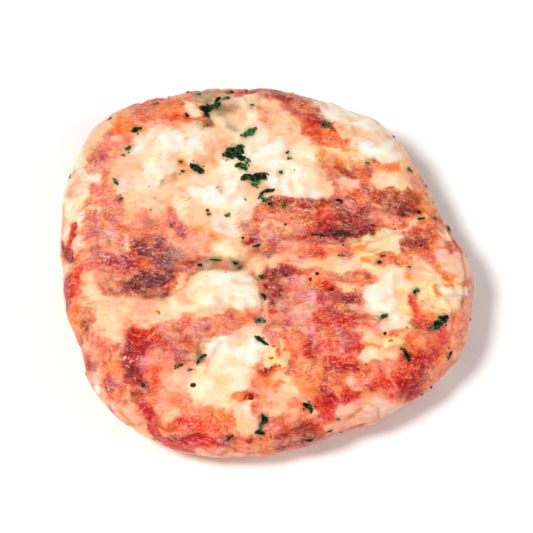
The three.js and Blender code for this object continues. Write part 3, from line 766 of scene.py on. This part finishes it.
# ---------------------------------------------------------------- material nodes
class Nodes:
    """A material's node tree, with short ways to add what the looks need."""

    def __init__(self, name):
        self.material = bpy.data.materials.new(name)
        self.material.use_nodes = True
        self.tree = self.material.node_tree
        self.tree.nodes.clear()

    def add(self, kind, *values, **settings):
        """A node with settings, its first inputs fed with values. None leaves an input alone."""
        node = self.tree.nodes.new(kind)
        for key, setting in settings.items():
            setattr(node, key, setting)
        for socket, value in zip(node.inputs, values):
            self.feed(socket, value)
        return node

    def feed(self, socket, value):
        if isinstance(value, bpy.types.NodeSocket):
            self.tree.links.new(value, socket)
        elif value is not None:
            lacks_alpha = hasattr(value, "__len__") and len(value) < len(socket.default_value)
            socket.default_value = (*value, 1.0) if lacks_alpha else value

    def places(self):
        return self.add("ShaderNodeTexCoord").outputs["Object"]

    def attribute(self, name, output="Fac"):
        return self.add("ShaderNodeAttribute", attribute_name=name).outputs[output]

    def math(self, operation, *values):
        return self.add("ShaderNodeMath", *values, operation=operation).outputs[0]

    def times(self, first, *others):
        for other in others:
            first = self.math("MULTIPLY", first, other)
        return first

    def total(self, start, *terms):
        """A start plus terms, each of which is (value, strength)."""
        for value, strength in terms:
            start = self.math("MULTIPLY_ADD", value, strength, start)
        return start

    def noise(self, places, wavelength, detail=2.0, roughness=0.5, output="Fac"):
        """Noise from 0 to 1 whose lumps are about half a wavelength, in mm, across."""
        scale = 1 / (wavelength * MM)
        values = (places, None, scale, detail, roughness)
        return self.add("ShaderNodeTexNoise", *values).outputs[output]

    def warp(self, places, wavelength, push):
        """Places pushed about by noise, wavelength and push in mm."""
        noise = self.noise(places, wavelength, 1.0, 0.5, "Color")
        centred = self.add("ShaderNodeVectorMath", noise, (0.5,) * 3, operation="SUBTRACT")
        pushes = (centred.outputs[0], (2 * push * MM,) * 3, places)
        return self.add("ShaderNodeVectorMath", *pushes, operation="MULTIPLY_ADD").outputs[0]

    def grains(self, places, spacing):
        """Grains, each with a tone of its own from 0 to 1, and the distance from its middle."""
        node = self.add("ShaderNodeTexVoronoi", places, None, 1 / (spacing * MM))
        split = self.add("ShaderNodeSeparateColor", node.outputs["Color"])
        return split.outputs[0], node.outputs["Distance"]

    def turned(self, places, turn, squeeze):
        """Places turned about Z by degrees, then scaled along each axis."""
        values = (places, None, (0, 0, math.radians(turn)), squeeze)
        return self.add("ShaderNodeMapping", *values).outputs[0]

    def strands(self, places, share, turns, squeeze, wavelengths, detail, roughness):
        """Stretched noise that runs one way or the other, by a share."""
        ways = [self.turned(places, turn, squeeze) for turn in turns]
        noises = [self.noise(w, length, detail, roughness) for w, length in zip(ways, wavelengths)]
        return self.mix(share, *noises)

    def span(self, value, low, high, to_low=0.0, to_high=1.0, interpolation="SMOOTHSTEP"):
        """A value's rise from low to high, as a rise from 0 to 1 or between two others."""
        values = (value, low, high, to_low, to_high)
        return self.add("ShaderNodeMapRange", *values, interpolation_type=interpolation).outputs[0]

    def ramp(self, value, low, high):
        return self.span(value, low, high, interpolation="LINEAR")

    def mix(self, share, a, b, blend="MIX"):
        """Two colours mixed. The node keeps its inputs for other kinds of value between them."""
        others = [None] * 5
        values = (share, *others, a, b)
        return self.add("ShaderNodeMix", *values, data_type="RGBA", blend_type=blend).outputs[2]

    def tinted(self, share, colour, tint):
        """A colour multiplied by a tint, by a share."""
        return self.mix(share, colour, tint, "MULTIPLY")

    def gamma(self, colour, power):
        """A colour raised to a power: under 1 it pales, over 1 it deepens."""
        return self.add("ShaderNodeGamma", colour, power).outputs[0]

    def bump(self, height, depth=1.0):
        """Height in units of depth, in mm."""
        node = self.add("ShaderNodeBump")
        self.feed(node.inputs["Strength"], 1.0)
        self.feed(node.inputs["Distance"], depth * MM)
        self.feed(node.inputs["Height"], height)
        return node.outputs["Normal"]

    def surface(self, **inputs):
        """Ends the tree in one shader. Names with an underscore stand for the shader's inputs."""
        shader = self.add("ShaderNodeBsdfPrincipled")
        for key, value in inputs.items():
            self.feed(shader.inputs[key.replace("_", " ")], value)
        self.add("ShaderNodeOutputMaterial", shader.outputs[0])
        return self.material


def meat_material():
    n = Nodes("raw_mince")
    places = n.places()
    swirl = n.warp(places, 5.0, 1.8)
    ragged = n.warp(swirl, 1.4, 0.35)

    broad = n.noise(swirl, 3.4, 3.0, 0.55)
    middle = n.noise(ragged, 1.5, 4.0, 0.62)
    fine = n.noise(ragged, 0.62, 4.0, 0.7)
    grit = n.noise(places, 0.42, 3.0, 0.7)
    which = n.span(n.noise(places, 9.0, 1.0), 0.40, 0.60)
    fibre = n.strands(swirl, which, (15, -55), (0.36, 1, 0.8), (0.50, 0.55), 3.0, 0.65)
    streak = n.strands(swirl, which, (12, -50), (0.22, 1, 0.7), (1.5, 1.6), 4.0, 0.62)

    # Where the fat ends and the lean begins, frayed and finely broken up. Each noise is round a
    # half, so together they lift the fatness by 2.8.
    fatness = n.attribute("fatness")
    frayed = n.total(fatness, (middle, 1.4), (streak, 1.5), (fibre, 1.2), (fine, 1.5))
    fat_share = n.ramp(frayed, 1.9, 3.8)

    # Lean: a close mottle of deep and pale flesh, deeper where it is coarse.
    lean = n.attribute("lean_tint", "Color")
    grain, from_grain = n.grains(n.turned(n.warp(ragged, 0.7, 0.2), 20, (0.7, 1, 1)), 0.5)
    mottle = n.total(0, (middle, 0.08), (fibre, 0.22), (streak, 0.15), (fine, 0.20), (grit, 0.27))
    mottle = n.total(mottle, (grain, 0.08))
    coarse = n.span(fatness, -0.7, -1.15)
    lively = n.span(fatness, -1.4, -1.15, 0.3, 1.0)
    depth = n.total(1.0, (n.math("SUBTRACT", 0.5, mottle), n.span(coarse, 0.0, 1.0, 3.8, 8.0)))
    flesh = n.gamma(lean, depth)
    shade = n.times(n.span(mottle, 0.48, 0.37, 0.0, 0.60), n.span(coarse, 0.0, 1.0, 0.35, 1.0))
    flesh = n.tinted(shade, flesh, (0.55, 0.38, 0.36))

    # Pale shreds, sinews and specks in the lean, partly real fat and sinew and partly painted glints of
    # wet highlight, and orange blotches.
    pale = n.mix(0.17, n.gamma(lean, 0.42), (1.0, 0.66, 0.54))
    patchy = n.span(n.noise(places, 4.0, 1.0), 0.42, 0.58, 0.1, 0.6)
    # Pale shreds: partly sinew, partly painted glints of wet highlight.
    shred_and_glint = n.times(n.span(grit, 0.52, 0.64), n.span(fibre, 0.46, 0.58), patchy, lively)
    flesh = n.mix(shred_and_glint, flesh, pale)
    ridge = n.noise(n.turned(ragged, 12, (0.45, 1, 0.8)), 1.3, 2.0, 0.55)
    ridge = n.math("ABSOLUTE", n.math("SUBTRACT", ridge, 0.5))
    patchy = n.span(n.noise(places, 3.0, 2.0), 0.46, 0.60, 0.0, 0.6)
    flesh = n.mix(n.times(n.span(ridge, 0.022, 0.004), patchy), flesh, pale)
    # Pale specks on the brightest grains: partly fat flecks, partly painted glints of wet highlight.
    speck_and_glint = n.times(n.span(grain, 0.55, 0.8), n.span(from_grain, 0.42, 0.15), lively)
    flesh = n.mix(n.times(speck_and_glint, n.span(coarse, 0.1, 0.9, 0.12, 0.5)), flesh, pale)
    flesh = n.tinted(n.span(broad, 0.54, 0.70, 0.0, 0.2), flesh, (1.0, 0.88, 0.60))

    # Fat: soft and creamy, warmer in blotches and where it thins out.
    fat = n.attribute("fat_tint", "Color")
    warm = n.tinted(1.0, fat, (0.99, 0.80, 0.68))
    blotches = [(broad, 0.52, 0.68, 0.50), (middle, 0.42, 0.30, 0.45), (fine, 0.56, 0.72, 0.40)]
    for noise, low, high, most in blotches:
        fat = n.mix(n.span(noise, low, high, 0.0, most), fat, warm)

    # Thin fat over lean is warmer than either.
    between = n.tinted(1.0, n.mix(0.5, flesh, fat), (1.0, 0.80, 0.70))
    colour = n.mix(n.ramp(fat_share, 0.05, 0.55), flesh, between)
    colour = n.mix(n.span(fat_share, 0.45, 0.95), colour, fat)

    # Cooler and warmer tones all over, painted shade in the crevices and seams, and the herbs' stains.
    tones = n.noise(ragged, 2.4, 5.0, 0.72)
    cool = n.mix(fat_share, (0.94, 0.92, 1.35), (1.0, 0.95, 1.04))
    colour = n.tinted(n.span(tones, 0.49, 0.37), colour, cool)
    warm = n.mix(fat_share, (1.05, 1.0, 0.52), (1.0, 0.99, 0.80))
    colour = n.tinted(n.span(tones, 0.51, 0.63), colour, warm)
    # Painted shade: crevices and seams darkened and reddened.
    colour = n.tinted(n.times(n.attribute("crevice_shade"), 0.8), colour, (0.72, 0.36, 0.25))
    stain = n.times(n.attribute("stain"), n.span(middle, 0.36, 0.56, 0.2, 0.75))
    colour = n.tinted(stain, colour, (0.46, 0.40, 0.20))

    normal = n.bump(n.total(0, (fibre, 0.14), (streak, 0.25), (fine, 0.14), (middle, 0.22)))
    return n.surface(
        Base_Color=colour,
        Roughness=n.total(0.17, (fat_share, 0.12), (middle, 0.3)),
        Normal=normal,
        Coat_Normal=normal,
        Coat_Weight=n.span(broad, 0.35, 0.65, 0.05, 0.45),
        Coat_Roughness=0.12,
        Subsurface_Weight=0.30,
        Subsurface_Radius=(1.0, 0.42, 0.26),
        Subsurface_Scale=1.0 * MM,
        Specular_IOR_Level=0.18,
    )


def herb_material():
    n = Nodes("dried_herb")
    places = n.places()
    tint = n.attribute("tint", "Color")
    blotch = n.noise(n.warp(places, 0.8, 0.3), 0.6, 3.0, 0.65)
    # Dark and green blotches on each flake: partly the dried leaf's own mottle, partly painted shade
    # and painted highlight.
    colour = n.tinted(n.span(blotch, 0.54, 0.44), tint, (0.10, 0.28, 0.24))
    green_and_highlight = n.tinted(1.0, n.gamma(tint, 0.64), (0.78, 1.0, 0.66))
    colour = n.mix(n.span(blotch, 0.53, 0.62), colour, green_and_highlight)
    rim = n.times(n.attribute("rim"), n.span(n.noise(places, 1.1, 2.0), 0.45, 0.62))
    colour = n.mix(rim, colour, (0.17, 0.22, 0.06))
    normal = n.bump(n.noise(places, 0.5, 3.0), 0.35)
    return n.surface(Base_Color=colour, Roughness=0.5, Normal=normal, Specular_IOR_Level=0.08)


def pepper_material():
    n = Nodes("cracked_pepper")
    places = n.places()
    mottle = n.noise(places, 0.3, 2.0)
    colour = n.mix(n.span(mottle, 0.35, 0.7), (0.012, 0.008, 0.005), (0.09, 0.045, 0.02))
    normal = n.bump(n.noise(places, 0.25, 2.0), 0.15)
    return n.surface(Base_Color=colour, Roughness=0.5, Normal=normal, Specular_IOR_Level=0.12)


def spice_material():
    n = Nodes("chilli_and_mustard")
    mottle = n.noise(n.places(), 0.4, 2.0)
    tint = n.attribute("tint", "Color")
    colour = n.tinted(n.span(mottle, 0.7, 0.3), tint, (0.6, 0.6, 0.6))
    normal = n.bump(mottle, 0.1)
    return n.surface(Base_Color=colour, Roughness=0.5, Normal=normal, Specular_IOR_Level=0.1)


def floor_material():
    n = Nodes("white_ground")
    colour = n.mix(n.noise(n.places(), 60.0, 2.0), (0.97, 0.97, 0.97), (0.99, 0.99, 0.99))
    return n.surface(Base_Color=colour, Roughness=0.9, Specular_IOR_Level=0.0)


# ---------------------------------------------------------------- herbs, pepper and spices
LEAF_STEPS = (14, 8)  # along and across a flake
LEAF_LOBES = 6
LEAF_THICKNESS = 0.09  # mm
SPICE_THICKNESS = 0.06  # mm
SPICE_SHAPE = (1.2, 0.8)  # length and width, times its size
SPICE_SINK = 0.03  # mm
FLAKE_UNDERSIDE = 0.12  # mm that a flake reaches below the skin
GRAIN_STEPS = (7, 5)  # round a grain and from its top to its bottom
CRUMB_SINK = 0.12  # how deep a grain's middle is sunk in the skin, times its size
SEEN_SINK = 0.18
STRAY_SINK = 0.2
CRUMB_TINTS = [OLIVE, GREEN, FRESH, BRIGHT, DARK]
STRAY_TINTS = [GREEN, DARK, FRESH, TEAL, OLIVE]
SPICE_TINTS = [CHILLI, DARK_CHILLI, PAPRIKA, MUSTARD]
STRAY_HERBS = 110  # spots tried all over, of which those that the photograph shows are dropped
STRAY_PEPPER = 70
STRAY_SPICES = 60
FINE_PEPPER = 80  # spots all over
ANYWHERE = 2.0  # a facing that no normal reaches
STREWING_SEED = 2024


class Skin:
    """The finished skin, with ways to find places on it."""

    def __init__(self, points, quads):
        self.points = points
        self.normals = normals_of(points, quads)
        self.tree = BVHTree.FromPolygons(points.tolist(), quads.tolist())

    def nearest(self, point):
        return tuple(np.array(found) for found in self.tree.find_nearest(Vector(point))[:2])

    def seen_spot(self, u, v):
        """The place and outward normal on the skin that is seen at (u, v)."""
        camera = VIEW_DISTANCE * TO_CAMERA
        ahead = Vector(np.array([u, 0, 0]) + v * UP_IN_VIEW - camera)
        hit = self.tree.ray_cast(Vector(SEEN_MIDDLE + camera), ahead.normalized())
        return np.array(hit[0]), np.array(hit[1])

    def spots(self, rng, table, count, draw, facing=HIDDEN_FACING):
        """Places and normals, each with the rest of its row in a table or with what draw returns.

        The table's come first, where they are seen, then stray ones that face the camera less.
        """
        for u, v, *rest in table:
            yield (*self.seen_spot(u, v), *rest)
        for _ in range(count):
            at = rng.integers(len(self.points))
            drawn = draw()
            if self.normals[at] @ TO_CAMERA < facing:
                yield (self.points[at], self.normals[at], *drawn)


def tangent_frame(normal, turn):
    """Two unit vectors in the surface, the first turned from +X by an angle in degrees."""
    across = np.array([1, 0, 0]) - normal * normal[0]
    if np.linalg.norm(across) < 0.2:
        across = np.array([0, 1, 0]) - normal * normal[1]
    across /= np.linalg.norm(across)
    beside = np.cross(normal, across)
    first = math.cos(math.radians(turn)) * across + math.sin(math.radians(turn)) * beside
    return first, np.cross(normal, first)


def flake(skin, spot, normal, length, width, turn, thickness, rng, sink=0.0):
    """A ragged flake plastered on the skin: points and faces."""
    along, aside = tangent_frame(normal, turn)
    steps_l, steps_w = LEAF_STEPS
    lobes = rng.uniform(0.55, 1.2, size=(2, LEAF_LOBES))
    stations = np.linspace(0, LEAF_LOBES - 1, steps_l + 1)
    ragged = np.stack([np.interp(stations, np.arange(LEAF_LOBES), side) for side in lobes])
    ragged *= rng.uniform(0.9, 1.1, size=ragged.shape)
    bend = rng.uniform(-0.35, 0.35)
    curl = rng.uniform(0.0, 0.25)
    top = []
    bottom = []
    for i in range(steps_l + 1):
        t = i / steps_l
        half = 0.5 * width * math.sin(math.pi * (0.06 + 0.88 * t)) ** 0.55
        for j in range(steps_w + 1):
            s = 2 * j / steps_w - 1
            side = ragged[0 if s < 0 else 1, i]
            a = (t - 0.5) * length * (1 + 0.08 * rng.uniform(-1, 1))
            b = s * half * side + bend * width * (2 * t - 1) ** 2
            at, out = skin.nearest(spot + along * a + aside * b)
            lift = 0.02 + curl * width * 0.25 * s * s * t - sink
            top.append(at + out * (lift + thickness * rng.uniform(0.3, 2.2)))
            bottom.append(at + out * (lift - FLAKE_UNDERSIDE))
    grid = np.arange(len(top)).reshape(steps_l + 1, steps_w + 1)
    face = np.stack([grid[:-1, :-1], grid[1:, :-1], grid[1:, 1:], grid[:-1, 1:]], -1).reshape(-1, 4)
    rim = np.concatenate([grid[0, :-1], grid[:-1, -1], grid[-1, :0:-1], grid[:0:-1, 0]])
    ahead = np.roll(rim, -1)
    sides = np.stack([rim, ahead, ahead + len(top), rim + len(top)], -1)
    return np.array(top + bottom), np.concatenate([face, face[:, ::-1] + len(top), sides]).tolist()


def grain(spot, normal, size, sink, rng):
    """A small angular grain, part sunk in the skin."""
    steps_a, steps_r = GRAIN_STEPS
    first, second = tangent_frame(normal, rng.uniform(0, 360))
    shape = rng.uniform(0.7, 1.15, size=3)
    points = [spot + normal * (size * (0.42 * shape[2] - sink))]
    for i in range(1, steps_r):
        tilt = math.pi * i / steps_r
        for j in range(steps_a):
            turn = 2 * math.pi * (j + 0.5 * (i % 2)) / steps_a
            r = 0.5 * size * rng.uniform(0.82, 1.12)
            x = r * math.sin(tilt) * math.cos(turn) * shape[0]
            y = r * math.sin(tilt) * math.sin(turn) * shape[1]
            z = r * math.cos(tilt) * shape[2] - size * sink
            points.append(spot + first * x + second * y + normal * z)
    points.append(spot - normal * size * (0.42 * shape[2] + sink))
    faces = []
    for j in range(steps_a):
        k = (j + 1) % steps_a
        faces.append((0, 1 + j, 1 + k))
        for a in range(1, 1 + (steps_r - 2) * steps_a, steps_a):
            faces.append((a + j, a + steps_a + j, a + steps_a + k, a + k))
        last = 1 + (steps_r - 2) * steps_a
        faces.append((last + j, len(points) - 1, last + k))
    return np.array(points), faces


def vary(colour, rng, by=0.18):
    """A colour made lighter or darker by up to a share."""
    return np.clip(np.array(colour) * rng.uniform(1 - by, 1 + by), 0, 255)


class Batch:
    """Many small things of one kind, joined into one piece."""

    def __init__(self):
        self.points = []
        self.faces = []
        self.tints = []
        self.rims = []

    def add(self, shape, tint=None, rim=None):
        """Joins points and faces, in one tint; a rim is from 0 to 1, for each point or for all."""
        points, faces = shape
        start = sum(len(p) for p in self.points)
        self.faces += [[i + start for i in face] for face in faces]
        self.points.append(points)
        if tint is not None:
            self.tints.append(np.tile(linear(tint), (len(points), 1)))
        if rim is not None:
            self.rims.append(np.full(len(points), rim, float))

    def piece(self, name, material):
        points = np.clip(np.concatenate(self.points), CAD_LOW, CAD_HIGH)
        piece = mesh_piece(name, points, self.faces, material)
        if self.tints:
            give_colour(piece, "tint", np.concatenate(self.tints))
        if self.rims:
            give_value(piece, "rim", np.concatenate(self.rims))


def add_leaf(batch, skin, spot, normal, length, width, turn, tint, rng):
    """A flake, yellower along its rim, with crumbs rubbed off it."""
    from_middle = [np.abs(np.linspace(-1, 1, steps + 1)) for steps in LEAF_STEPS]
    rim = smoothstep(0.6, 1.0, np.maximum.outer(*from_middle)).ravel()
    shape = flake(skin, spot, normal, length, width, turn, LEAF_THICKNESS, rng)
    batch.add(shape, vary(tint, rng), np.concatenate([rim, rim]))
    along, aside = tangent_frame(normal, turn)
    for _ in range(int(rng.integers(1, 3 + int(length * width)))):
        a, b = rng.normal(size=2) * (0.32 * length + 0.1, 0.34 * width + 0.2)
        at, out = skin.nearest(spot + along * a + aside * b)
        crumb_tint = CRUMB_TINTS[rng.integers(len(CRUMB_TINTS))]
        crumb = grain(at, out, rng.uniform(0.2, 0.5), CRUMB_SINK, rng)
        batch.add(crumb, vary(crumb_tint, rng), 0)


def herb_batch(skin, rng):
    """The herb flakes, and where they are and how wide."""
    def stray():
        length = rng.uniform(0.8, 2.6)
        width = length * rng.uniform(0.3, 0.7)
        return length, width, rng.uniform(0, 360), STRAY_TINTS[rng.integers(len(STRAY_TINTS))]

    batch = Batch()
    stained = []
    for spot, normal, length, width, turn, tint in skin.spots(rng, HERBS, STRAY_HERBS, stray):
        add_leaf(batch, skin, spot, normal, length, width, turn, tint, rng)
        stained.append((*spot, width))
    return batch, stained


def pepper_batch(skin, rng):
    """Cracked pepper, and fine grains of it all over."""
    batch = Batch()
    rows = [(*row, SEEN_SINK) for row in PEPPER]
    for found in skin.spots(rng, rows, STRAY_PEPPER, lambda: (rng.uniform(0.4, 0.95), STRAY_SINK)):
        batch.add(grain(*found, rng))
    fine = skin.spots(rng, [], FINE_PEPPER, lambda: (rng.uniform(0.15, 0.34), STRAY_SINK), ANYWHERE)
    for found in fine:
        batch.add(grain(*found, rng))
    return batch


def spice_batch(skin, rng):
    """Chilli and mustard flakes."""
    def stray():
        return rng.uniform(0.5, 1.1), SPICE_TINTS[rng.integers(len(SPICE_TINTS))]

    batch = Batch()
    for spot, normal, size, tint in skin.spots(rng, SPICES, STRAY_SPICES, stray):
        length, width = (size * share for share in SPICE_SHAPE)
        turn = rng.uniform(0, 360)
        shape = flake(skin, spot, normal, length, width, turn, SPICE_THICKNESS, rng, SPICE_SINK)
        batch.add(shape, vary(tint, rng, 0.1))
    return batch


def build_patty():
    """The skin in place of the CAD solid, and what is strewn on it."""
    points, quads, mince, crevice_shade = build_skin()
    skin = Skin(points, quads)
    rng = np.random.default_rng(STREWING_SEED)
    herbs, stained = herb_batch(skin, rng)
    pepper = pepper_batch(skin, rng)
    spices = spice_batch(skin, rng)
    piece = mesh_piece("mince_skin", points, quads, meat_material())
    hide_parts("patty")
    give_colour(piece, "lean_tint", mince.lean)
    give_colour(piece, "fat_tint", mince.fat)
    give_value(piece, "fatness", mince.fatness)
    # Crevices and seams, which the material darkens as painted shade.
    give_value(piece, "crevice_shade", crevice_shade)
    give_value(piece, "stain", stain_near(points, stained, mince.facing))
    herbs.piece("herb_flakes", herb_material())
    pepper.piece("pepper_grains", pepper_material())
    spices.piece("spice_flakes", spice_material())


# ---------------------------------------------------------------- floor, lights and camera
LENS = 180.0  # mm
SENSOR = 36.0  # mm
FLOOR_SIZE = 6.0  # metres
SKY_STRENGTH = 0.34
AIM = Vector((0, 0, 0.008))  # what the lights point at, in metres

# Disc lights: name, place and width in metres, power in watts and colour.
LIGHTS = [
    ("key", (-0.42, -0.10, 0.80), 0.26, 6.1, (1.0, 0.985, 0.955)),
    ("side", (0.65, -0.10, 0.50), 0.30, 1.4, (1.0, 1.0, 1.0)),
    ("front", (0.05, -0.80, 0.42), 0.30, 0.8, (1.0, 1.0, 1.0)),
]


def aimed(name, data, place, target):
    """An object in the scene that looks from a place at a target."""
    obj = bpy.data.objects.new(name, data)
    bpy.context.scene.collection.objects.link(obj)
    obj.location = place
    obj.rotation_euler = (target - Vector(place)).to_track_quat("-Z", "Y").to_euler()
    return obj


def build_stage():
    bpy.ops.mesh.primitive_plane_add(size=FLOOR_SIZE, location=(0, 0, 0))
    floor = bpy.context.object
    floor.name = "ground"
    floor.data.materials.append(floor_material())
    world = bpy.data.worlds.new("studio")
    bpy.context.scene.world = world
    world.use_nodes = True
    background = world.node_tree.nodes["Background"]
    background.inputs["Color"].default_value = (1, 1, 1, 1)
    background.inputs["Strength"].default_value = SKY_STRENGTH
    for name, place, size, power, colour in LIGHTS:
        light = bpy.data.lights.new(name, "AREA")
        light.shape = "DISK"
        light.size = size
        light.energy = power
        light.color = colour
        aimed(name, light, place, AIM)
    bpy.context.scene.view_settings.view_transform = "Standard"


def build_camera():
    middle = Vector((CAD_LOW + CAD_HIGH) / 2 * MM)
    data = bpy.data.cameras.new("camera")
    data.lens = LENS
    data.sensor_width = SENSOR
    place = middle + Vector(TO_CAMERA) * VIEW_DISTANCE * MM
    bpy.context.scene.camera = aimed("camera", data, place, middle)


build_patty()
build_stage()
build_camera()
